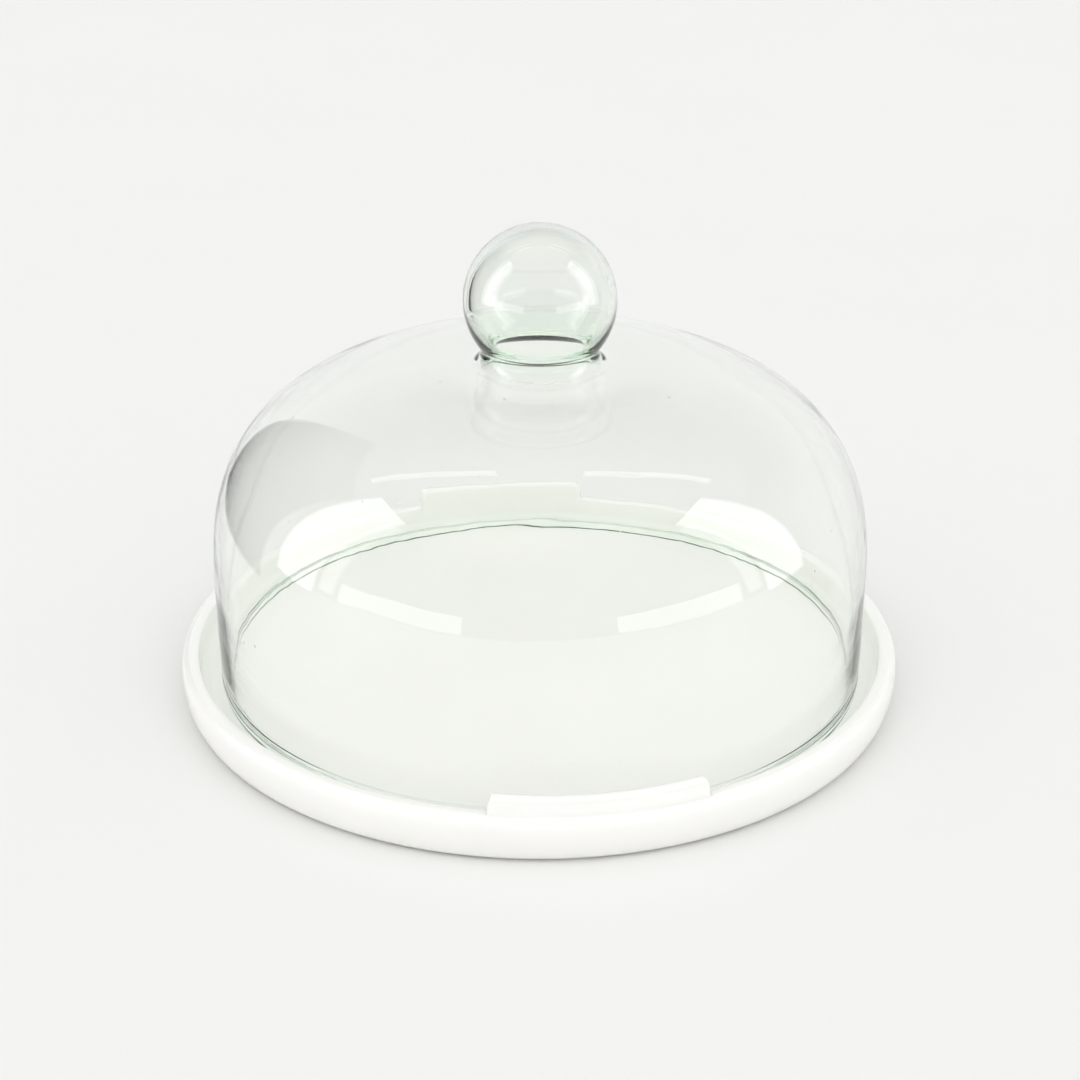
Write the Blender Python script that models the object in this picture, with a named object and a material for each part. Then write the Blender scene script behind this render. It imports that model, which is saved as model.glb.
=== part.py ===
"""Domed cake server: a round tray with two rim handles and a lift-off glass bell.

Metres, +Z up.  The tray stands on z = 0 with its axis on the Z axis and its
two handles on the -Y and +Y sides.  The bell rests on the tray floor.
"""
import math

import bpy
from mathutils import Vector

# ---- tray -------------------------------------------------------------------
TRAY_RADIUS = 0.150
FOOT_OUTER_RADIUS = 0.1436
FOOT_EDGE_STEP = 0.0014
FOOT_EDGE_HEIGHT = 0.0006
FOOT_INNER_RADIUS = 0.1160
FOOT_RECESS_DEPTH = 0.0020
FOOT_RECESS_SLOPE = 0.0030
FLOOR_HEIGHT = 0.0080
FLOOR_RADIUS = 0.1370
FLOOR_FILLET_INSET = 0.0006
FILLET_STEPS = 4
BULGE_HEIGHT = 0.0140
BULGE_STEPS = 5
SHOULDER_STEPS = 3
SHOULDER_DROP = 0.0004
RIM_HEIGHT = 0.0200
RIM_CREST_RADIUS = 0.1452
RIM_SHOULDER_RADIUS = 0.1474
RIM_INNER_RADIUS = 0.1428
RIM_INNER_DROP = 0.0025
TRAY_SEGMENTS = 80

# ---- handles, part of the tray's rim ------------------------------------------
HANDLE_RISE = 0.0080
HANDLE_HALF_ARC = math.radians(16.0)
HANDLE_CORNER = 0.0028
HANDLE_CORNER_STEPS = 5
HANDLE_SPAN_STEPS = 10
HANDLE_CORNER_POWER = 2.6

# ---- glass bell ---------------------------------------------------------------
REST_GAP = 0.0003
BELL_RADIUS = 0.1349
BELL_LIP_RADIUS = 0.1345
BELL_WAIST_HEIGHT = 0.0500
BELL_CROWN_HEIGHT = 0.1423
BELL_POWER = 2.83
BELL_WALL = 0.0036
BELL_HOLE_RADIUS = 0.0190
BELL_SEGMENTS = 64
BELL_ARC_STEPS = 16
BELL_WALL_STEPS = 4
LIP_ROUND_STEPS = 4

# ---- collar and ball of the knob ----------------------------------------------
FUSE_GAP = 0.0003
COLLAR_INNER_RADIUS = 0.0189
COLLAR_FLARE_RADIUS = 0.0278
COLLAR_NECK_RADIUS = 0.0236
COLLAR_TOP_HEIGHT = 0.1468
COLLAR_STEPS = 5
BALL_RADIUS = 0.0307
BALL_CENTRE_HEIGHT = 0.1666
BALL_WALL = 0.0026
BALL_STEPS = 14
KNOB_SEGMENTS = 48

LIP_HEIGHT = FLOOR_HEIGHT + REST_GAP


def clear_scene():
    """Remove every object so that the build starts from nothing."""
    for obj in list(bpy.data.objects):
        bpy.data.objects.remove(obj, do_unlink=True)


def make_material(name, colour, roughness, metallic, transmission):
    """One Principled material."""
    mat = bpy.data.materials.new(name)
    mat.use_nodes = True
    shader = mat.node_tree.nodes["Principled BSDF"]
    shader.inputs["Base Color"].default_value = (*colour, 1.0)
    shader.inputs["Roughness"].default_value = roughness
    shader.inputs["Metallic"].default_value = metallic
    shader.inputs["Transmission Weight"].default_value = transmission
    return mat


def add_object(name, verts, faces, mat, origin_height):
    """Turn points and faces into one smooth object whose origin is on the axis."""
    origin = Vector((0.0, 0.0, origin_height))
    mesh = bpy.data.meshes.new(name)
    mesh.from_pydata([Vector(v) - origin for v in verts], [], faces)
    mesh.validate()
    for polygon in mesh.polygons:
        polygon.use_smooth = True
    mesh.materials.append(mat)
    obj = bpy.data.objects.new(name, mesh)
    obj.location = origin
    bpy.context.scene.collection.objects.link(obj)
    return obj


def turn_loop(name, loop, segments, mat, origin_height):
    """Turn a closed outline of (radius, height) once round the Z axis.

    The outline runs anticlockwise as seen with the radius to the right, so
    that the faces look outwards.
    """
    verts = []
    for step in range(segments):
        angle = 2.0 * math.pi * step / segments
        for radius, height in loop:
            verts.append((radius * math.cos(angle), radius * math.sin(angle), height))
    count = len(loop)
    faces = []
    for step in range(segments):
        here = step * count
        there = ((step + 1) % segments) * count
        for index in range(count):
            after = (index + 1) % count
            faces.append((here + index, there + index, there + after, here + after))
    return add_object(name, verts, faces, mat, origin_height)


def offset_inwards(curve, distance):
    """Move an open (radius, height) curve to its left by a wall thickness."""
    moved = []
    for index, (radius, height) in enumerate(curve):
        before = curve[max(index - 1, 0)]
        after = curve[min(index + 1, len(curve) - 1)]
        run = after[0] - before[0]
        rise = after[1] - before[1]
        length = math.hypot(run, rise)
        moved.append((radius - distance * rise / length, height + distance * run / length))
    return moved


def bell_outer_curve():
    """Outside of the bell, from just above the lip up to the hole in the crown."""
    curve = []
    start = LIP_HEIGHT + BELL_WALL / 2
    for step in range(BELL_WALL_STEPS):
        height = start + (BELL_WAIST_HEIGHT - start) * step / BELL_WALL_STEPS
        share = (BELL_WAIST_HEIGHT - height) / (BELL_WAIST_HEIGHT - LIP_HEIGHT)
        curve.append((BELL_RADIUS - (BELL_RADIUS - BELL_LIP_RADIUS) * share ** 2, height))
    rise = BELL_CROWN_HEIGHT - BELL_WAIST_HEIGHT
    end = math.acos((BELL_HOLE_RADIUS / BELL_RADIUS) ** (BELL_POWER / 2))
    for step in range(BELL_ARC_STEPS + 1):
        turn = end * step / BELL_ARC_STEPS
        radius = BELL_RADIUS * math.cos(turn) ** (2 / BELL_POWER)
        height = BELL_WAIST_HEIGHT + rise * math.sin(turn) ** (2 / BELL_POWER)
        curve.append((radius, height))
    return curve


def bell_crown_height(radius):
    """Height of the bell's outside near the crown at a given radius."""
    rise = BELL_CROWN_HEIGHT - BELL_WAIST_HEIGHT
    share = (radius / BELL_RADIUS) ** BELL_POWER
    return BELL_WAIST_HEIGHT + rise * (1.0 - share) ** (1 / BELL_POWER)


def build_bell(mat):
    """Bell with a rounded lip below and a round hole in its crown."""
    outer = bell_outer_curve()
    inner = offset_inwards(outer, BELL_WALL)
    inner[-1] = (BELL_HOLE_RADIUS, inner[-1][1])
    half = BELL_WALL / 2
    lip_centre = (outer[0][0] + inner[0][0]) / 2
    lip = []
    for step in range(1, LIP_ROUND_STEPS):
        turn = math.pi * step / LIP_ROUND_STEPS
        lip.append((lip_centre - half * math.cos(turn), outer[0][1] - half * math.sin(turn)))
    loop = outer + inner[::-1] + lip
    return turn_loop("bell_dome", loop, BELL_SEGMENTS, mat, LIP_HEIGHT)


def build_collar(mat):
    """Thick glass ring that joins the ball to the crown, flared at its foot."""
    foot_outer = bell_crown_height(COLLAR_FLARE_RADIUS) + FUSE_GAP
    foot_inner = bell_crown_height(COLLAR_INNER_RADIUS) + FUSE_GAP
    loop = [(COLLAR_INNER_RADIUS, foot_inner)]
    for step in range(COLLAR_STEPS + 1):
        turn = (math.pi / 2) * step / COLLAR_STEPS
        width = COLLAR_FLARE_RADIUS - COLLAR_NECK_RADIUS
        radius = COLLAR_FLARE_RADIUS - width * math.sin(turn)
        height = foot_outer + (COLLAR_TOP_HEIGHT - foot_outer) * (1.0 - math.cos(turn))
        loop.append((radius, height))
    loop.append((COLLAR_INNER_RADIUS, COLLAR_TOP_HEIGHT))
    return turn_loop("knob_collar", loop, KNOB_SEGMENTS, mat, LIP_HEIGHT)


def build_ball(mat):
    """Hollow ball, open below where it meets the collar."""
    cut = COLLAR_TOP_HEIGHT + FUSE_GAP - BALL_CENTRE_HEIGHT
    bore = BALL_RADIUS - BALL_WALL
    loop = []
    for radius, order in ((BALL_RADIUS, 1), (bore, -1)):
        low = math.asin(cut / radius)
        arc = []
        for step in range(BALL_STEPS + 1):
            turn = low + (math.pi / 2 - low) * step / BALL_STEPS
            arc.append((radius * math.cos(turn), BALL_CENTRE_HEIGHT + radius * math.sin(turn)))
        loop.append(arc[::order])
    return turn_ball("knob_ball", loop[0], loop[1], mat)


def turn_ball(name, outer, inner, mat):
    """Turn the ball's two skins, each closed at the top by a single point."""
    rings = outer[:-1]
    inner_rings = inner[1:]
    verts = []
    for radius, height in rings + inner_rings:
        for step in range(KNOB_SEGMENTS):
            angle = 2.0 * math.pi * step / KNOB_SEGMENTS
            verts.append((radius * math.cos(angle), radius * math.sin(angle), height))
    outer_pole = len(verts)
    verts.append((0.0, 0.0, outer[-1][1]))
    inner_pole = len(verts)
    verts.append((0.0, 0.0, inner[0][1]))
    faces = []
    last_outer = len(rings) - 1
    last_ring = len(rings) + len(inner_rings) - 1
    for step in range(KNOB_SEGMENTS):
        after = (step + 1) % KNOB_SEGMENTS
        for ring in range(last_ring):
            if ring == last_outer:
                continue
            here = ring * KNOB_SEGMENTS
            above = (ring + 1) * KNOB_SEGMENTS
            faces.append((here + step, here + after, above + after, above + step))
        top = last_outer * KNOB_SEGMENTS
        faces.append((top + step, top + after, outer_pole))
        under = (last_outer + 1) * KNOB_SEGMENTS
        faces.append((under + after, under + step, inner_pole))
        mouth = last_ring * KNOB_SEGMENTS
        faces.append((mouth + step, mouth + after, after, step))
    return add_object(name, verts, faces, mat, LIP_HEIGHT)


def handle_angles():
    """Angles round the tray, closer together at the ends of each handle."""
    angles = []
    for side in (0, 1):
        middle = -math.pi / 2 + math.pi * side
        corner = HANDLE_CORNER / RIM_CREST_RADIUS
        offsets = []
        for step in range(HANDLE_CORNER_STEPS + 1):
            share = (step / HANDLE_CORNER_STEPS) ** 2
            offsets.append(-HANDLE_HALF_ARC + corner * share)
        flat = HANDLE_HALF_ARC - corner
        for step in range(1, HANDLE_SPAN_STEPS):
            offsets.append(-flat + 2 * flat * step / HANDLE_SPAN_STEPS)
        for offset in reversed(offsets[:HANDLE_CORNER_STEPS + 1]):
            offsets.append(-offset)
        angles += [middle + offset for offset in offsets]
        free = math.pi - 2 * HANDLE_HALF_ARC
        steps = TRAY_SEGMENTS // 2 - HANDLE_SPAN_STEPS
        for step in range(1, steps):
            angles.append(middle + HANDLE_HALF_ARC + free * step / steps)
    return angles


def handle_lift(angle):
    """Share of the handle's full rise at an angle round the tray."""
    away = abs(math.remainder(angle - math.pi / 2, math.pi))
    inside = (HANDLE_HALF_ARC - away) * RIM_CREST_RADIUS
    if inside <= 0.0:
        return 0.0
    if inside >= HANDLE_CORNER:
        return 1.0
    left = 1.0 - inside / HANDLE_CORNER
    return (1.0 - left ** HANDLE_CORNER_POWER) ** (1 / HANDLE_CORNER_POWER)


def rim_top_rings():
    """Rounded top of the rim, from the outer shoulder to the inner wall."""
    places = [
        (RIM_SHOULDER_RADIUS, -0.0003, -0.0003, 0.86),
        (RIM_SHOULDER_RADIUS, -0.0010, -0.0001, 0.98),
        (RIM_CREST_RADIUS, 0.0, 0.0, 1.0),
        (RIM_INNER_RADIUS, 0.0010, -0.0004, 0.98),
        (RIM_INNER_RADIUS, 0.0003, -0.0012, 0.86),
    ]
    return [(radius + inset, RIM_HEIGHT + drop, share) for radius, inset, drop, share in places]


def tray_rings():
    """(radius, height, share of the handle's rise) from the recess to the floor."""
    low_radius = FOOT_OUTER_RADIUS + FOOT_EDGE_STEP
    rings = [
        (FOOT_INNER_RADIUS - FOOT_RECESS_SLOPE, FOOT_RECESS_DEPTH, 0.0),
        (FOOT_INNER_RADIUS, 0.0, 0.0),
        (FOOT_OUTER_RADIUS, 0.0, 0.0),
        (low_radius, FOOT_EDGE_HEIGHT, 0.0),
    ]
    for step in range(1, BULGE_STEPS + 1):
        turn = (math.pi / 2) * step / BULGE_STEPS
        radius = low_radius + (TRAY_RADIUS - low_radius) * math.sin(turn)
        height = FOOT_EDGE_HEIGHT + (BULGE_HEIGHT - FOOT_EDGE_HEIGHT) * (1.0 - math.cos(turn))
        rings.append((radius, height, 0.0))
    shoulder_rise = RIM_HEIGHT - SHOULDER_DROP - BULGE_HEIGHT
    for step in range(1, SHOULDER_STEPS + 1):
        turn = (math.pi / 2) * step / SHOULDER_STEPS
        radius = TRAY_RADIUS - (TRAY_RADIUS - RIM_SHOULDER_RADIUS) * (1.0 - math.cos(turn))
        rings.append((radius, BULGE_HEIGHT + shoulder_rise * math.sin(turn), 0.0))
    rings += rim_top_rings()
    rings.append((RIM_INNER_RADIUS, RIM_HEIGHT - RIM_INNER_DROP, 0.0))
    fillet = RIM_INNER_RADIUS - FLOOR_FILLET_INSET - FLOOR_RADIUS
    for step in range(FILLET_STEPS + 1):
        turn = (math.pi / 2) * step / FILLET_STEPS
        radius = FLOOR_RADIUS + fillet * math.cos(turn)
        rings.append((radius, FLOOR_HEIGHT + fillet * (1.0 - math.sin(turn)), 0.0))
    return rings


def build_tray(mat):
    """Solid tray with a foot ring, a rounded rim and two raised handles."""
    rings = tray_rings()
    angles = handle_angles()
    verts = []
    for angle in angles:
        lift = HANDLE_RISE * handle_lift(angle)
        for radius, height, share in rings:
            place = (radius * math.cos(angle), radius * math.sin(angle), height + lift * share)
            verts.append(place)
    under = len(verts)
    verts.append((0.0, 0.0, FOOT_RECESS_DEPTH))
    over = len(verts)
    verts.append((0.0, 0.0, FLOOR_HEIGHT))
    count = len(rings)
    faces = []
    for step in range(len(angles)):
        here = step * count
        there = ((step + 1) % len(angles)) * count
        faces.append((under, there, here))
        for index in range(count - 1):
            faces.append((here + index, there + index, there + index + 1, here + index + 1))
        faces.append((over, here + count - 1, there + count - 1))
    return add_object("serving_tray", verts, faces, mat, 0.0)


def main():
    clear_scene()
    glaze = make_material("white_glaze", (0.90, 0.89, 0.86), 0.22, 0.0, 0.0)
    bell_glass = make_material("bell_glass", (0.62, 0.74, 0.66), 0.03, 0.0, 0.9)
    collar_glass = make_material("collar_glass", (0.16, 0.34, 0.26), 0.04, 0.0, 0.8)
    ball_glass = make_material("ball_glass", (0.66, 0.77, 0.69), 0.03, 0.0, 0.9)
    build_tray(glaze)
    build_bell(bell_glass)
    build_collar(collar_glass)
    build_ball(ball_glass)


main()
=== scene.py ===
"""Looks of the domed cake server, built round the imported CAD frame.

Lengths are in metres.  The tray's handles lie on -Y and +Y, and the camera
stands a little to the left of the -Y axis.
"""
import math

import bpy
import numpy as np
from mathutils import Matrix, Vector


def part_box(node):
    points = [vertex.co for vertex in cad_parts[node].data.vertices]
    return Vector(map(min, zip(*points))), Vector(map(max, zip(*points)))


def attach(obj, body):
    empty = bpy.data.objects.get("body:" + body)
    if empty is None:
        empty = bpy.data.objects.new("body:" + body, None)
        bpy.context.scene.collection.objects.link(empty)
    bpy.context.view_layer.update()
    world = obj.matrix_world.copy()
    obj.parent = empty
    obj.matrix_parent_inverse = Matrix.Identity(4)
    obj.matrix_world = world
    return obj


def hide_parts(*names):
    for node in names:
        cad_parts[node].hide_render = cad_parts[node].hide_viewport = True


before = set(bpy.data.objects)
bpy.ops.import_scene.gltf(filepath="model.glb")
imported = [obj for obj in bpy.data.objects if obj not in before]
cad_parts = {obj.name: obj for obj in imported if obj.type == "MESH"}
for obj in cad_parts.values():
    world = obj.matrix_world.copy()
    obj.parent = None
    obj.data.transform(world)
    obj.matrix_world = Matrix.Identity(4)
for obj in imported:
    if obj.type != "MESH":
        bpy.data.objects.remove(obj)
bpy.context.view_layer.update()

# ---- sizes read from the frame ------------------------------------------------------
_, TRAY_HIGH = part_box("serving_tray")
BELL_LOW, BELL_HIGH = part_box("bell_dome")
_, BALL_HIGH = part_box("knob_ball")
TRAY_RADIUS = TRAY_HIGH[0]
LIP_HEIGHT = BELL_LOW[2]
BELL_RADIUS = BELL_HIGH[0]
BALL_RADIUS = BALL_HIGH[0]
BALL_TOP = BALL_HIGH[2]
BALL_CENTRE = BALL_TOP - BALL_RADIUS

# ---- shape of the glass -------------------------------------------------------------
BELL_LIP_RADIUS = 0.1345
BELL_WAIST_HEIGHT = 0.0500
BELL_CROWN_HEIGHT = 0.1423
BELL_POWER = 2.83
NECK_FILLET = 0.0040
FLARE_RADIUS = 0.0280
BALL_WALL = 0.0030
NECK_WALL = 0.0045
CROWN_WALL = 0.0024
BELL_WALL = 0.0030
CROWN_BLEND = 0.060
BEAD_SWELL = 0.0001
BEAD_HEIGHT = 0.0038
BEAD_CLEAR = 1.4
GROOVE_WIDTH = 0.0011
GROOVE_DEPTH = 0.0005
LIP_EDGE = 0.0006
LID_SHIFT = (0.0006, 0.0003)
NECK_SEARCH = (1.2, 1.56)
NECK_SEARCH_STEPS = 50
BALL_POINTS = 60
FILLET_POINTS = 24
BELL_POINTS = 90
SKIRT_POINTS = 16
LIP_POINTS = 4
GLASS_SEGMENTS = 256

# ---- unevenness of hand-made glass and clay: seed, lowest and highest order, size -----
BELL_SWAY = (11, 2, 6, 0.00018)
LIP_WAVE = (21, 2, 9, 0.00030)
LIP_RIPPLE = (22, 14, 30, 0.00016)
TRAY_SWAY = (31, 2, 9, 0.00010)
BELL_SWAY_DRIFT = 7.0
BELL_SWAY_BLEND = 0.05
LIP_WAVE_FADE = 0.006
TRAY_SWAY_DRIFT = 20
TRAY_SWAY_RADIUS = 0.1
TRAY_SWAY_HEIGHT = 0.003

# ---- shape of the tray --------------------------------------------------------------
RIM_HEIGHT = 0.0200
FLOOR_HEIGHT = 0.0080
FLOOR_RADIUS = 0.1370
FOOT_RADIUS = 0.1436
FOOT_INNER = 0.1160
FOOT_RECESS = 0.0020
FOOT_EDGE = (FOOT_RADIUS + 0.0014, 0.0006)
FOOT_RING = [
    (FOOT_INNER - 0.0030, FOOT_RECESS - 0.0002), (FOOT_INNER - 0.0008, 0.0004), (FOOT_INNER, 0.0),
    (FOOT_RADIUS - 0.0006, 0.0), (FOOT_RADIUS, 0.0001),
]
RECESS_RADII = np.linspace(0.02, FOOT_INNER - 0.004, 6)
FLOOR_RADII = (0.134, 0.125, 0.11, 0.09, 0.07, 0.05, 0.03, 0.01)
BULGE_HEIGHT = 0.0140
CREST_RADIUS = 0.1452
SHOULDER_RADIUS = 0.1474
SHOULDER_DROP = 0.0004
RIM_INNER = 0.1428
RIM_INNER_DROP = 0.0025
RIM_INSET = 0.0001
RIM_FALL_OUTSIDE = 0.0003
RIM_FALL_INSIDE = 0.0010
WALL_LEAN = 0.0006
BARE_CLAY_HEIGHT = 0.0005
BARE_CLAY_MARGIN = 0.002
BULGE_POINTS = 16
SHOULDER_POINTS = 12
RIM_POINTS = 15
GUTTER_POINTS = 12

# ---- raised handles: middle, half arc and rise; the two differ as hand-finished clay does
FRONT_HANDLE = (math.radians(-90.0 + 0.7), math.radians(16.4), 0.0078)
BACK_HANDLE = (math.radians(90.0 - 0.8), math.radians(15.5), 0.0084)
HANDLE_CORNER = 0.0026
HANDLE_ROUNDNESS = 2.6
HANDLE_SADDLE = 0.10
HANDLE_EDGE_SHARE = 0.76
HANDLE_SIDE_SHARE = 0.80
HANDLE_CROWN_SHARE = 0.20
HANDLE_END_STEPS = 14
HANDLE_STEPS = 36
RIM_STEPS = 132

# ---- glass body: share of the height up to the knob's top, and share of the deepest green
DEEPEST_GREEN = 30.0
GLASS_DEPTHS = [
    (0.060, (0.60, 0.60, 0.60)), (0.085, (0.08, 0.08, 0.08)), (0.718, (0.08, 0.08, 0.08)),
    (0.730, (0.80, 0.80, 0.80)), (0.755, (0.80, 0.80, 0.80)), (0.810, (0.27, 0.27, 0.27)),
    (1.000, (0.24, 0.24, 0.24)),
]
GLASS_GREEN = (0.12, 0.80, 0.34, 1.0)
GLASS_SHADE = (0.991, 0.994, 0.988, 1.0)

# ---- studio -------------------------------------------------------------------------
TABLE_HALF = 30
TABLE_DROP = 0.0002
# brightness of the room against the upward part of a direction: all round, and extra at the back
ROOM_GLOW = [(0.0, (0.37, 0.37, 0.37)), (0.70, (0.35, 0.35, 0.35)), (0.93, (0.56, 0.56, 0.56))]
BACK_GLOW = [
    (0.0, (0.52, 0.52, 0.52)), (0.34, (0.46, 0.46, 0.46)), (0.62, (0.05, 0.05, 0.05)), (1.0, (0.0, 0.0, 0.0)),
]
LAMP_AIM_HEIGHT = 0.1
SUN_DISTANCE = 2.0
SIDE_DISTANCE = 1.6
TOP_DISTANCE = 2.0
CARD_NEAR = (-0.50, 0.05)
CARD_FAR = (-0.309, 0.35)
CARD_HEIGHT = 0.59
VIEW_TURN = math.radians(-8.35)
CAMERA_BACK = 0.8255
CAMERA_SIDE = 0.0005
CAMERA_HEIGHT = 0.4470
CAMERA_PITCH = math.radians(25.0)
CAMERA_LENS = 73.0
SENSOR = 36.0


def nodes_of(mat):
    """The node tree of a material, emptied, with its output."""
    mat.use_nodes = True
    tree = mat.node_tree
    tree.nodes.clear()
    return tree, tree.nodes.new("ShaderNodeOutputMaterial")


def add_node(tree, kind, settings=None, **values):
    """Add a node and set its sockets by name."""
    node = tree.nodes.new(kind)
    for key, value in (settings or {}).items():
        setattr(node, key, value)
    for key, value in values.items():
        node.inputs[key.replace("_", " ")].default_value = value
    return node


def colour_ramp(tree, source, stops):
    """A colour ramp fed by a socket, with (position, colour) stops."""
    ramp = tree.nodes.new("ShaderNodeValToRGB")
    points = ramp.color_ramp.elements
    while len(points) < len(stops):
        points.new(1.0)
    for point, (place, colour) in zip(points, stops):
        point.position = place
        point.color = (*colour, 1.0)
    tree.links.new(source, ramp.inputs["Fac"])
    return ramp.outputs["Color"]


def mesh_object(name, verts, faces, mats, slots=None):
    """One smooth mesh object with its materials."""
    mesh = bpy.data.meshes.new(name)
    mesh.from_pydata([tuple(v) for v in verts], [], [tuple(f) for f in faces])
    mesh.validate()
    for mat in mats:
        mesh.materials.append(mat)
    for index, polygon in enumerate(mesh.polygons):
        polygon.use_smooth = True
        if slots is not None:
            polygon.material_index = slots[index]
    obj = bpy.data.objects.new(name, mesh)
    bpy.context.scene.collection.objects.link(obj)
    return obj


def ripple(seed, low, high, strength):
    """A smooth periodic function of (angle, share along the outline)."""
    rng = np.random.default_rng(seed)
    waves = []
    for order in range(low, high + 1):
        size = strength * rng.uniform(0.4, 1.0) / math.sqrt(order)
        waves.append((order, size, rng.uniform(0, 2 * math.pi), rng.uniform(-9, 9), rng.uniform(3, 12)))

    def at(angle, share):
        total = 0.0
        for order, size, phase, drift, beat in waves:
            swing = np.sin(order * angle + phase + drift * share)
            total = total + size * swing * np.cos(beat * share + phase)
        return total

    return at


# ---- glass lid ----------------------------------------------------------------------
def bell_point(turn):
    """(radius, height) on the bell's outside above its waist, at a turn from 0 to a quarter."""
    rise = BELL_CROWN_HEIGHT - BELL_WAIST_HEIGHT
    power = 2 / BELL_POWER
    radius = BELL_RADIUS * math.cos(turn) ** power
    return np.array([radius, BELL_WAIST_HEIGHT + rise * math.sin(turn) ** power])


def bell_normal(turn):
    """Outward direction of the bell's outside at a turn."""
    step = 1e-4
    run, rise = bell_point(turn - step) - bell_point(turn + step)
    return np.array([-rise, run]) / math.hypot(run, rise)


def neck_meeting():
    """Turn on the bell where a round fillet touches both the bell and the ball."""
    centre = np.array([0.0, BALL_CENTRE])
    low, high = NECK_SEARCH
    for _ in range(NECK_SEARCH_STEPS):
        turn = (low + high) / 2
        fillet = bell_point(turn) + NECK_FILLET * bell_normal(turn)
        if np.linalg.norm(fillet - centre) > BALL_RADIUS + NECK_FILLET:
            low = turn
        else:
            high = turn
    return turn


def arc(centre, radius, start, end, count):
    """Points of an arc, angles in degrees."""
    turns = np.radians(np.linspace(start, end, count))
    return [(centre[0] + radius * math.cos(t), centre[1] + radius * math.sin(t)) for t in turns]


def below_waist(height):
    """Share of the way from the bell's waist down to its lip."""
    return (BELL_WAIST_HEIGHT - height) / (BELL_WAIST_HEIGHT - LIP_HEIGHT)


def lid_outside():
    """(radius, height) from the ball's top, through the neck and over the bell, to above the lip."""
    centre = np.array([0.0, BALL_CENTRE])
    meet = neck_meeting()
    fillet = bell_point(meet) + NECK_FILLET * bell_normal(meet)
    away = fillet - centre
    touch = math.degrees(math.atan2(away[1], away[0]))
    down = -bell_normal(meet)
    last = math.degrees(math.atan2(down[1], down[0])) + 360.0
    points = arc(centre, BALL_RADIUS, 90.0, touch, BALL_POINTS)[:-1]
    points += arc(fillet, NECK_FILLET, touch + 180.0, last, FILLET_POINTS)[:-1]
    points += [tuple(bell_point(turn)) for turn in np.linspace(meet, 0.0, BELL_POINTS)]
    skirt_end = LIP_HEIGHT + BEAD_HEIGHT + BEAD_CLEAR * GROOVE_WIDTH
    for height in np.linspace(BELL_WAIST_HEIGHT, skirt_end, SKIRT_POINTS)[1:]:
        points.append((BELL_RADIUS - (BELL_RADIUS - BELL_LIP_RADIUS) * below_waist(height) ** 2, height))
    return np.array(points)


def wall_at(radius, height):
    """Thickness of the glass: even in the ball, thicker over the neck, growing down the bell."""
    if height > BALL_CENTRE:
        return BALL_WALL
    if height > BELL_CROWN_HEIGHT:
        share = (BALL_CENTRE - height) / (BALL_CENTRE - BELL_CROWN_HEIGHT)
        return BALL_WALL + (NECK_WALL - BALL_WALL) * share ** 2
    if height > BELL_WAIST_HEIGHT:
        share = min(max((radius - FLARE_RADIUS) / CROWN_BLEND, 0.0), 1.0)
        return NECK_WALL + (CROWN_WALL - NECK_WALL) * (3 * share ** 2 - 2 * share ** 3)
    return CROWN_WALL + (BELL_WALL - CROWN_WALL) * min(below_waist(height), 1.0)


def lid_inside(outside):
    """The outside moved inward by the thickness of the glass, still from top to bottom."""
    moved = []
    for index, (radius, height) in enumerate(outside):
        before = outside[max(index - 1, 0)]
        after = outside[min(index + 1, len(outside) - 1)]
        run, rise = after - before
        length = math.hypot(run, rise)
        wall = wall_at(radius, height)
        moved.append((radius + wall * rise / length, height - wall * run / length))
    moved[0] = (0.0, BALL_TOP - BALL_WALL)
    return np.array(moved)


def smooth_curve(points, count):
    """A Catmull-Rom curve through a few control points."""
    padded = [points[0]] + list(points) + [points[-1]]
    out = []
    for index in range(1, len(padded) - 2):
        a, b, c, d = (np.array(padded[index + k]) for k in (-1, 0, 1, 2))
        for t in np.linspace(0.0, 1.0, count, endpoint=False):
            out.append(tuple(0.5 * (2 * b + (c - a) * t + (2 * a - 5 * b + 4 * c - d) * t ** 2
                                    + (3 * b - a - 3 * c + d) * t ** 3)))
    out.append(tuple(points[-1]))
    return out


def lip_outline(outer, inner):
    """Thickened lip: a shallow groove either side of a bead with small-radius edges."""
    low, bead = LIP_HEIGHT, LIP_HEIGHT + BEAD_HEIGHT
    outside, inside = BELL_LIP_RADIUS, BELL_LIP_RADIUS - BELL_WALL
    return smooth_curve([
        tuple(outer), (outside, bead + GROOVE_WIDTH / 2), (outside - GROOVE_DEPTH, bead),
        (outside + BEAD_SWELL, bead - GROOVE_WIDTH / 2), (outside + BEAD_SWELL, low + LIP_EDGE),
        (outside + BEAD_SWELL - LIP_EDGE, low), (inside - BEAD_SWELL + LIP_EDGE, low),
        (inside - BEAD_SWELL, low + LIP_EDGE), (inside - BEAD_SWELL, bead - GROOVE_WIDTH / 2),
        (inside + GROOVE_DEPTH, bead), (inside, bead + GROOVE_WIDTH / 2), tuple(inner)], LIP_POINTS)


def lid_outline():
    """Outline of the lid from the ball's top, down the outside, round the lip and up the inside."""
    outside = lid_outside()
    inside = lid_inside(outside)
    return ([tuple(p) for p in outside[:-1]] + lip_outline(outside[-1], inside[-1])
            + [tuple(p) for p in inside[:-1][::-1]])


def uneven(radius, height, turn):
    """Small departures of hand-blown glass from a true turned shape."""
    wave = np.abs(ripple(*BELL_SWAY)(turn, height * BELL_SWAY_DRIFT))
    grown = radius - wave * np.clip((radius - FLARE_RADIUS) / BELL_SWAY_BLEND, 0.0, 1.0)
    lip_wave = np.abs(ripple(*LIP_WAVE)(turn, 0.0)) + np.abs(ripple(*LIP_RIPPLE)(turn, 0.0))
    return grown, height + lip_wave * np.exp(-(height - LIP_HEIGHT) / LIP_WAVE_FADE)


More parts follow.
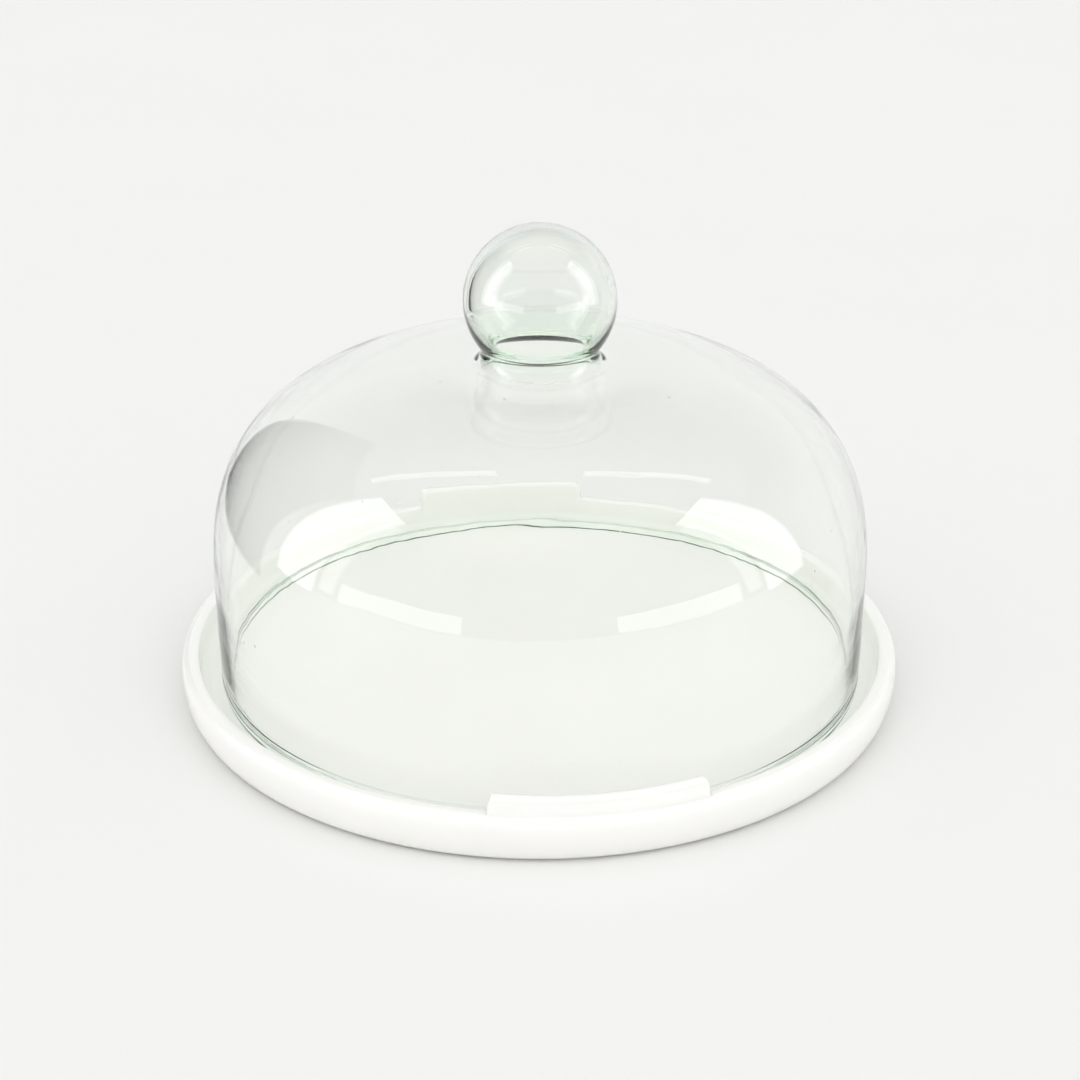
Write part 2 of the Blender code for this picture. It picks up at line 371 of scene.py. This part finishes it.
def build_lid(mat):
    """Bell, neck and ball: an outline turned about the axis, closed by a pole at either end."""
    outline = np.array(lid_outline())
    turn = np.linspace(0, 2 * math.pi, GLASS_SEGMENTS, endpoint=False)
    radius, height = uneven(outline[1:-1, 0][:, None], outline[1:-1, 1][:, None], turn[None, :])
    height = np.broadcast_to(height, radius.shape)
    along = radius * np.cos(turn) + LID_SHIFT[0]
    across = radius * np.sin(turn) + LID_SHIFT[1]
    verts = [tuple(p) for p in np.stack([along, across, height], -1).reshape(-1, 3)]
    top, bottom = len(verts), len(verts) + 1
    verts.append((*LID_SHIFT, outline[0, 1]))
    verts.append((*LID_SHIFT, outline[-1, 1]))
    faces = []
    rings = len(outline) - 2
    last = (rings - 1) * GLASS_SEGMENTS
    for step in range(GLASS_SEGMENTS):
        after = (step + 1) % GLASS_SEGMENTS
        faces.append((top, step, after))
        faces.append((last + step, bottom, last + after))
        for ring in range(rings - 1):
            here = ring * GLASS_SEGMENTS
            below = here + GLASS_SEGMENTS
            faces.append((here + step, below + step, below + after, here + after))
    return mesh_object("lid_blown_glass", verts, faces, [mat])


# ---- tray ---------------------------------------------------------------------------
def handle_lift(angle):
    """Rise of the rim at an angle round the tray: two raised handles with rounded corners."""
    for middle, half_arc, rise in (FRONT_HANDLE, BACK_HANDLE):
        away = abs(math.remainder(angle - middle, 2 * math.pi))
        inside = (half_arc - away) * CREST_RADIUS
        if inside > 0.0:
            top = rise * (1.0 - HANDLE_SADDLE * (1.0 - (away / half_arc) ** 2))
            left = max(0.0, 1.0 - inside / HANDLE_CORNER)
            return top * (1.0 - left ** HANDLE_ROUNDNESS) ** (1 / HANDLE_ROUNDNESS)
    return 0.0


def tray_angles():
    """Angles round the tray, much closer together at the ends of each handle."""
    handles = []
    corner = HANDLE_CORNER / CREST_RADIUS
    for middle, half_arc, _ in (FRONT_HANDLE, BACK_HANDLE):
        edge = [-half_arc + corner * s ** 2 for s in np.linspace(0, 1, HANDLE_END_STEPS)]
        flat = list(np.linspace(edge[-1], -edge[-1], HANDLE_STEPS))[1:-1]
        handles.append([middle + a for a in edge + flat + [-e for e in reversed(edge)]])
    front, back = handles
    right = list(np.linspace(front[-1], back[0], RIM_STEPS))[1:-1]
    left = list(np.linspace(back[-1], front[0] + 2 * math.pi, RIM_STEPS))[1:-1]
    return front + right + back + left


def rim_top():
    """(radius, height, share of the handle's rise) over the rim, from its outside to its inside."""
    half = (SHOULDER_RADIUS - RIM_INNER) / 2
    middle = RIM_INNER + half
    rings = []
    for turn in np.linspace(0.0, math.pi, RIM_POINTS):
        bow = math.sin(turn)
        share = HANDLE_SIDE_SHARE + HANDLE_CROWN_SHARE * bow ** 0.5
        if turn in (0.0, math.pi):
            share = HANDLE_EDGE_SHARE
        fall = RIM_FALL_INSIDE if turn > math.pi / 2 else RIM_FALL_OUTSIDE
        rings.append((middle + (half - RIM_INSET) * math.cos(turn), RIM_HEIGHT - fall * (1 - bow), share))
    return rings


def tray_outline():
    """(radius, height, share of the handle's rise) from the recess to the floor's middle."""
    rings = [(radius, FOOT_RECESS, 0.0) for radius in RECESS_RADII]
    rings += [(radius, height, 0.0) for radius, height in FOOT_RING]
    foot, low = FOOT_EDGE
    for turn in np.linspace(0.0, math.pi / 2, BULGE_POINTS):
        radius = foot + (TRAY_RADIUS - foot) * math.sin(turn)
        rings.append((radius, low + (BULGE_HEIGHT - low) * (1.0 - math.cos(turn)), 0.0))
    shoulder = RIM_HEIGHT - SHOULDER_DROP
    for turn in np.linspace(0.0, math.pi / 2, SHOULDER_POINTS)[1:-1]:
        radius = TRAY_RADIUS - (TRAY_RADIUS - SHOULDER_RADIUS) * (1.0 - math.cos(turn))
        rings.append((radius, BULGE_HEIGHT + (shoulder - BULGE_HEIGHT) * math.sin(turn), 0.0))
    rings.append((SHOULDER_RADIUS, shoulder, 0.0))
    rings += rim_top()
    rings.append((RIM_INNER - RIM_INSET, RIM_HEIGHT - RIM_INNER_DROP, 0.0))
    fillet = RIM_INNER - WALL_LEAN - FLOOR_RADIUS
    for turn in np.linspace(0.0, math.pi / 2, GUTTER_POINTS):
        height = FLOOR_HEIGHT + fillet * (1 - math.sin(turn))
        rings.append((FLOOR_RADIUS + fillet * math.cos(turn), height, 0.0))
    rings += [(radius, FLOOR_HEIGHT, 0.0) for radius in FLOOR_RADII]
    return rings


def tray_verts(rings, angles):
    """Points of the tray, ring by ring at each angle, with a slight sway above its foot."""
    sway = ripple(*TRAY_SWAY)
    verts = []
    for angle in angles:
        lift = handle_lift(angle)
        for radius, height, share in rings:
            wide = radius
            if height > TRAY_SWAY_HEIGHT and radius > TRAY_SWAY_RADIUS:
                wide = radius - abs(float(sway(angle, height * TRAY_SWAY_DRIFT)))
            verts.append((wide * math.cos(angle), wide * math.sin(angle), height + lift * share))
    return verts


def build_tray(glaze, clay):
    """One-piece tray: foot ring, rounded wall, rim with two raised handles, and floor."""
    rings = tray_outline()
    angles = tray_angles()
    verts = tray_verts(rings, angles)
    under, over = len(verts), len(verts) + 1
    verts.append((0.0, 0.0, FOOT_RECESS))
    verts.append((0.0, 0.0, FLOOR_HEIGHT))
    count = len(rings)
    faces = []
    slots = []
    for step in range(len(angles)):
        here = step * count
        there = ((step + 1) % len(angles)) * count
        faces.append((under, there, here))
        slots.append(0)
        for index in range(count - 1):
            faces.append((here + index, there + index, there + index + 1, here + index + 1))
            low = max(rings[index][1], rings[index + 1][1]) < BARE_CLAY_HEIGHT
            bare = low and rings[index][0] > FOOT_INNER - BARE_CLAY_MARGIN
            slots.append(1 if bare else 0)
        faces.append((over, here + count - 1, there + count - 1))
        slots.append(0)
    return mesh_object("tray_body", verts, faces, [glaze, clay], slots)


# ---- materials ----------------------------------------------------------------------
def glass_surface(tree, place):
    """Smooth glass with broad ripples, upright cords and a few seeds."""
    broad = add_node(tree, "ShaderNodeTexNoise", Scale=26.0, Detail=2.0, Roughness=0.45)
    tree.links.new(place, broad.inputs["Vector"])
    stretch = add_node(tree, "ShaderNodeMapping")
    stretch.inputs["Scale"].default_value = (1.0, 1.0, 3.2)
    tree.links.new(place, stretch.inputs["Vector"])
    cords = add_node(tree, "ShaderNodeTexNoise", Scale=60.0, Detail=1.5, Roughness=0.4)
    tree.links.new(stretch.outputs["Vector"], cords.inputs["Vector"])
    seeds = add_node(tree, "ShaderNodeTexVoronoi", {"feature": "F1"}, Scale=55.0, Randomness=1.0)
    tree.links.new(place, seeds.inputs["Vector"])
    dots = colour_ramp(tree, seeds.outputs["Distance"],
                       [(0.0, (1, 1, 1)), (0.035, (0, 0, 0)), (1.0, (0, 0, 0))])
    wave = add_node(tree, "ShaderNodeBump", Strength=0.03, Distance=0.004)
    tree.links.new(broad.outputs["Fac"], wave.inputs["Height"])
    fine = add_node(tree, "ShaderNodeBump", Strength=0.012, Distance=0.0015)
    tree.links.new(cords.outputs["Fac"], fine.inputs["Height"])
    tree.links.new(wave.outputs["Normal"], fine.inputs["Normal"])
    pits = add_node(tree, "ShaderNodeBump", Strength=0.2, Distance=0.0006)
    tree.links.new(dots, pits.inputs["Height"])
    tree.links.new(fine.outputs["Normal"], pits.inputs["Normal"])
    tint = colour_ramp(tree, broad.outputs["Fac"],
                       [(0.3, (0.994, 0.998, 0.986)), (0.7, (0.999, 1.0, 0.993))])
    shader = add_node(tree, "ShaderNodeBsdfPrincipled", Roughness=0.0, IOR=1.5)
    shader.inputs["Transmission Weight"].default_value = 1.0
    tree.links.new(tint, shader.inputs["Base Color"])
    tree.links.new(pits.outputs["Normal"], shader.inputs["Normal"])
    return shader.outputs["BSDF"]


def glass_body(tree, place):
    """Green absorption inside the glass, deepest where the knob is joined on."""
    axes = add_node(tree, "ShaderNodeSeparateXYZ")
    tree.links.new(place, axes.inputs[0])
    share = add_node(tree, "ShaderNodeMapRange")
    share.inputs["From Max"].default_value = BALL_TOP
    tree.links.new(axes.outputs["Z"], share.inputs["Value"])
    green = colour_ramp(tree, share.outputs[0], GLASS_DEPTHS)
    thick = add_node(tree, "ShaderNodeMath", {"operation": "MULTIPLY"})
    thick.inputs[1].default_value = DEEPEST_GREEN
    tree.links.new(green, thick.inputs[0])
    body = add_node(tree, "ShaderNodeVolumeAbsorption", Color=GLASS_GREEN)
    tree.links.new(thick.outputs[0], body.inputs["Density"])
    return body.outputs["Volume"]


def glass_material():
    """Pale green blown glass; lamps and light scattered by the tray pass straight through it."""
    mat = bpy.data.materials.new("blown_green_glass")
    tree, out = nodes_of(mat)
    place = add_node(tree, "ShaderNodeTexCoord").outputs["Object"]
    surface = glass_surface(tree, place)
    clear = add_node(tree, "ShaderNodeBsdfTransparent", Color=GLASS_SHADE)
    path = add_node(tree, "ShaderNodeLightPath")
    straight = add_node(tree, "ShaderNodeMath", {"operation": "MAXIMUM"})
    tree.links.new(path.outputs["Is Shadow Ray"], straight.inputs[0])
    tree.links.new(path.outputs["Is Diffuse Ray"], straight.inputs[1])
    mix = add_node(tree, "ShaderNodeMixShader")
    tree.links.new(straight.outputs[0], mix.inputs["Fac"])
    tree.links.new(surface, mix.inputs[1])
    tree.links.new(clear.outputs["BSDF"], mix.inputs[2])
    tree.links.new(mix.outputs["Shader"], out.inputs["Surface"])
    tree.links.new(glass_body(tree, place), out.inputs["Volume"])
    return mat


def glaze_material():
    """Warm white satin glaze, faintly clouded and pooled, with a fine orange-peel skin."""
    mat = bpy.data.materials.new("white_tray_glaze")
    tree, out = nodes_of(mat)
    place = add_node(tree, "ShaderNodeTexCoord")
    cloud = add_node(tree, "ShaderNodeTexNoise", Scale=14.0, Detail=5.0, Roughness=0.55)
    tree.links.new(place.outputs["Object"], cloud.inputs["Vector"])
    body = colour_ramp(tree, cloud.outputs["Fac"],
                       [(0.30, (0.836, 0.831, 0.808)), (0.70, (0.856, 0.851, 0.830))])
    peel = add_node(tree, "ShaderNodeTexNoise", Scale=220.0, Detail=3.0, Roughness=0.5)
    tree.links.new(place.outputs["Object"], peel.inputs["Vector"])
    pool = add_node(tree, "ShaderNodeTexNoise", Scale=22.0, Detail=1.0, Roughness=0.4)
    tree.links.new(place.outputs["Object"], pool.inputs["Vector"])
    sheen = colour_ramp(tree, cloud.outputs["Fac"],
                        [(0.25, (0.17, 0.17, 0.17)), (0.75, (0.27, 0.27, 0.27))])
    wave = add_node(tree, "ShaderNodeBump", Strength=0.16, Distance=0.003)
    tree.links.new(pool.outputs["Fac"], wave.inputs["Height"])
    skin = add_node(tree, "ShaderNodeBump", Strength=0.06, Distance=0.0006)
    tree.links.new(peel.outputs["Fac"], skin.inputs["Height"])
    tree.links.new(wave.outputs["Normal"], skin.inputs["Normal"])
    shader = add_node(tree, "ShaderNodeBsdfPrincipled", IOR=1.5)
    tree.links.new(body, shader.inputs["Base Color"])
    tree.links.new(sheen, shader.inputs["Roughness"])
    tree.links.new(skin.outputs["Normal"], shader.inputs["Normal"])
    tree.links.new(shader.outputs["BSDF"], out.inputs["Surface"])
    return mat


def clay_material():
    """Bare fired clay of the foot ring."""
    mat = bpy.data.materials.new("bare_foot_clay")
    tree, out = nodes_of(mat)
    place = add_node(tree, "ShaderNodeTexCoord")
    grit = add_node(tree, "ShaderNodeTexNoise", Scale=900.0, Detail=4.0, Roughness=0.7)
    tree.links.new(place.outputs["Object"], grit.inputs["Vector"])
    clay = colour_ramp(tree, grit.outputs["Fac"], [(0.35, (0.70, 0.65, 0.57)), (0.65, (0.80, 0.76, 0.69))])
    rough = add_node(tree, "ShaderNodeBump", Strength=0.5, Distance=0.0003)
    tree.links.new(grit.outputs["Fac"], rough.inputs["Height"])
    shader = add_node(tree, "ShaderNodeBsdfPrincipled", Roughness=0.85)
    tree.links.new(clay, shader.inputs["Base Color"])
    tree.links.new(rough.outputs["Normal"], shader.inputs["Normal"])
    tree.links.new(shader.outputs["BSDF"], out.inputs["Surface"])
    return mat


def table_material():
    """Pale matt table."""
    mat = bpy.data.materials.new("pale_table")
    tree, out = nodes_of(mat)
    place = add_node(tree, "ShaderNodeTexCoord")
    grain = add_node(tree, "ShaderNodeTexNoise", Scale=3.0, Detail=3.0, Roughness=0.5)
    tree.links.new(place.outputs["Object"], grain.inputs["Vector"])
    paper = colour_ramp(tree, grain.outputs["Fac"],
                        [(0.3, (0.778, 0.778, 0.765)), (0.7, (0.784, 0.784, 0.771))])
    shader = add_node(tree, "ShaderNodeBsdfPrincipled", Roughness=0.9)
    shader.inputs["Specular IOR Level"].default_value = 0.1
    tree.links.new(paper, shader.inputs["Base Color"])
    tree.links.new(shader.outputs["BSDF"], out.inputs["Surface"])
    return mat


def felt_material():
    """Black felt of the dark card, met only by light that the glass has reflected."""
    mat = bpy.data.materials.new("black_felt")
    tree, out = nodes_of(mat)
    place = add_node(tree, "ShaderNodeTexCoord")
    nap = add_node(tree, "ShaderNodeTexNoise", Scale=200.0)
    tree.links.new(place.outputs["Object"], nap.inputs["Vector"])
    dye = colour_ramp(tree, nap.outputs["Fac"], [(0.3, (0.02, 0.02, 0.02)), (0.7, (0.05, 0.05, 0.05))])
    shader = add_node(tree, "ShaderNodeBsdfPrincipled", Roughness=0.95)
    tree.links.new(dye, shader.inputs["Base Color"])
    path = add_node(tree, "ShaderNodeLightPath")
    met = add_node(tree, "ShaderNodeMath", {"operation": "GREATER_THAN"})
    met.inputs[1].default_value = 0.5
    tree.links.new(path.outputs["Glossy Depth"], met.inputs[0])
    clear = add_node(tree, "ShaderNodeBsdfTransparent")
    mix = add_node(tree, "ShaderNodeMixShader")
    tree.links.new(met.outputs[0], mix.inputs["Fac"])
    tree.links.new(clear.outputs["BSDF"], mix.inputs[1])
    tree.links.new(shader.outputs["BSDF"], mix.inputs[2])
    tree.links.new(mix.outputs["Shader"], out.inputs["Surface"])
    return mat


# ---- studio -------------------------------------------------------------------------
def from_view(side, ahead, height):
    """A point given by the camera's right, its forward and up, in the row frame."""
    return Matrix.Rotation(VIEW_TURN, 4, "Z") @ Vector((side, ahead, height))


def bearing(azimuth, elevation, distance):
    """A step from the object: azimuth 0 is towards the camera and + is to the camera's right."""
    turn, tilt = math.radians(azimuth), math.radians(elevation)
    level = distance * math.cos(tilt)
    return from_view(level * math.sin(turn), -level * math.cos(turn), distance * math.sin(tilt))


def light_card(name, start, end, height, strength):
    """A soft lamp between two bearings, turned to the object and seen only in its reflections."""
    heart = Vector((0.0, 0.0, LAMP_AIM_HEIGHT))
    first, last = heart + bearing(*start), heart + bearing(*end)
    middle = (first + last) / 2
    across = (last - first).normalized()
    inward = heart - middle
    inward = (inward - across * inward.dot(across)).normalized()
    lamp = bpy.data.lights.new(name, "AREA")
    lamp.shape = "RECTANGLE"
    lamp.size = (last - first).length
    lamp.size_y = height
    lamp.energy = strength * lamp.size * lamp.size_y * math.pi
    lamp.use_nodes = True
    tree = lamp.node_tree
    path = add_node(tree, "ShaderNodeLightPath")
    gate = add_node(tree, "ShaderNodeMath", {"operation": "LESS_THAN"})
    gate.inputs[1].default_value = 0.5
    tree.links.new(path.outputs["Diffuse Depth"], gate.inputs[0])
    tree.links.new(gate.outputs["Value"], tree.nodes["Emission"].inputs["Strength"])
    obj = bpy.data.objects.new(name, lamp)
    tall = across.cross(inward)
    facing = Matrix((across, tall, -inward)).transposed().to_4x4()
    obj.matrix_world = Matrix.Translation(middle) @ facing
    bpy.context.scene.collection.objects.link(obj)
    obj.visible_diffuse = False
    obj.visible_camera = False


def soft_sun(name, azimuth, elevation, spread, strength):
    """A very wide lamp that lights matt surfaces and is not seen in the glass."""
    lamp = bpy.data.lights.new(name, "SUN")
    lamp.energy = strength
    lamp.angle = math.radians(spread)
    lamp.cycles.use_multiple_importance_sampling = False
    obj = bpy.data.objects.new(name, lamp)
    obj.location = bearing(azimuth, elevation, SUN_DISTANCE)
    obj.rotation_euler = (-obj.location).to_track_quat("-Z", "Y").to_euler()
    obj.visible_glossy = False
    obj.visible_transmission = False
    bpy.context.scene.collection.objects.link(obj)


def build_table():
    """A wide pale table just under the tray."""
    half = TABLE_HALF
    corners = [(-half, -half, -TABLE_DROP), (half, -half, -TABLE_DROP), (half, half, -TABLE_DROP),
               (-half, half, -TABLE_DROP)]
    table = mesh_object("table", corners, [(0, 1, 2, 3)], [table_material()])


def build_room():
    """Dim even room, brighter overhead and towards the horizon behind the object."""
    world = bpy.data.worlds.new("studio")
    bpy.context.scene.world = world
    world.use_nodes = True
    world.cycles.sampling_method = "NONE"
    tree = world.node_tree
    ray = add_node(tree, "ShaderNodeTexCoord")
    back = add_node(tree, "ShaderNodeVectorMath", {"operation": "DOT_PRODUCT"})
    back.inputs[1].default_value = from_view(0.0, 1.0, 0.0)
    tree.links.new(ray.outputs["Generated"], back.inputs[0])
    facing = add_node(tree, "ShaderNodeMapRange", From_Min=-0.5, From_Max=0.35)
    tree.links.new(back.outputs["Value"], facing.inputs["Value"])
    split = add_node(tree, "ShaderNodeSeparateXYZ")
    tree.links.new(ray.outputs["Generated"], split.inputs["Vector"])
    glow = add_node(tree, "ShaderNodeMath", {"operation": "MULTIPLY_ADD"})
    tree.links.new(facing.outputs[0], glow.inputs[0])
    tree.links.new(colour_ramp(tree, split.outputs["Z"], BACK_GLOW), glow.inputs[1])
    tree.links.new(colour_ramp(tree, split.outputs["Z"], ROOM_GLOW), glow.inputs[2])
    background = tree.nodes["Background"]
    background.inputs["Color"].default_value = (1.0, 1.0, 0.995, 1.0)
    tree.links.new(glow.outputs["Value"], background.inputs["Strength"])


def build_lamps():
    """Wide lamps for the matt surfaces, and pairs of cards for the reflections in the glass."""
    soft_sun("overhead", azimuth=0.0, elevation=82.0, spread=110.0, strength=1.05)
    soft_sun("front_fill", azimuth=0.0, elevation=40.0, spread=100.0, strength=0.55)
    for side, word in ((-1, "left"), (1, "right")):
        soft_sun("fill_" + word, azimuth=side * 58, elevation=12.0, spread=80.0, strength=1.24)
        light_card("side_" + word, start=(side * 77, 26, SIDE_DISTANCE), end=(side * 98, 26, SIDE_DISTANCE),
                   height=1.70, strength=1.9)
        light_card("side_soft_" + word, start=(side * 70, 26, SIDE_DISTANCE),
                   end=(side * 77, 26, SIDE_DISTANCE), height=1.45, strength=0.9)
        light_card("low_strip_" + word, start=(side * 24.5, 4.5, SIDE_DISTANCE),
                   end=(side * 68, 4.5, SIDE_DISTANCE), height=0.26, strength=1.25)
        light_card("top_strip_" + word, start=(side * 118, 51.5, TOP_DISTANCE),
                   end=(side * 159, 69.0, TOP_DISTANCE), height=0.05, strength=1.8)


def build_dark_card():
    """A black card upright at the left of the object."""
    near, far = from_view(*CARD_NEAR, 0.0), from_view(*CARD_FAR, 0.0)
    top = Vector((0.0, 0.0, CARD_HEIGHT))
    card = mesh_object("dark_card", [near, far, far + top, near + top], [(0, 1, 2, 3)], [felt_material()])
    card.visible_diffuse = False
    card.visible_shadow = False
    card.visible_camera = False


def build_camera():
    """The camera, in front of the tray's handle and above it."""
    camera = bpy.data.cameras.new("camera")
    camera.lens = CAMERA_LENS
    camera.sensor_width = SENSOR
    camera.clip_start = 0.01
    eye = bpy.data.objects.new("camera", camera)
    eye.location = from_view(CAMERA_SIDE, -CAMERA_BACK, CAMERA_HEIGHT)
    eye.rotation_euler = (math.pi / 2 - CAMERA_PITCH, 0.0, VIEW_TURN)
    bpy.context.scene.collection.objects.link(eye)
    bpy.context.scene.camera = eye
    bpy.context.scene.view_settings.view_transform = "Standard"


build_table()
build_room()
build_lamps()
build_dark_card()
build_camera()

tray = build_tray(glaze_material(), clay_material())
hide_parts("serving_tray")
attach(tray, "tray")
lid = build_lid(glass_material())
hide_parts("bell_dome", "knob_collar", "knob_ball")
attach(lid, "lid")
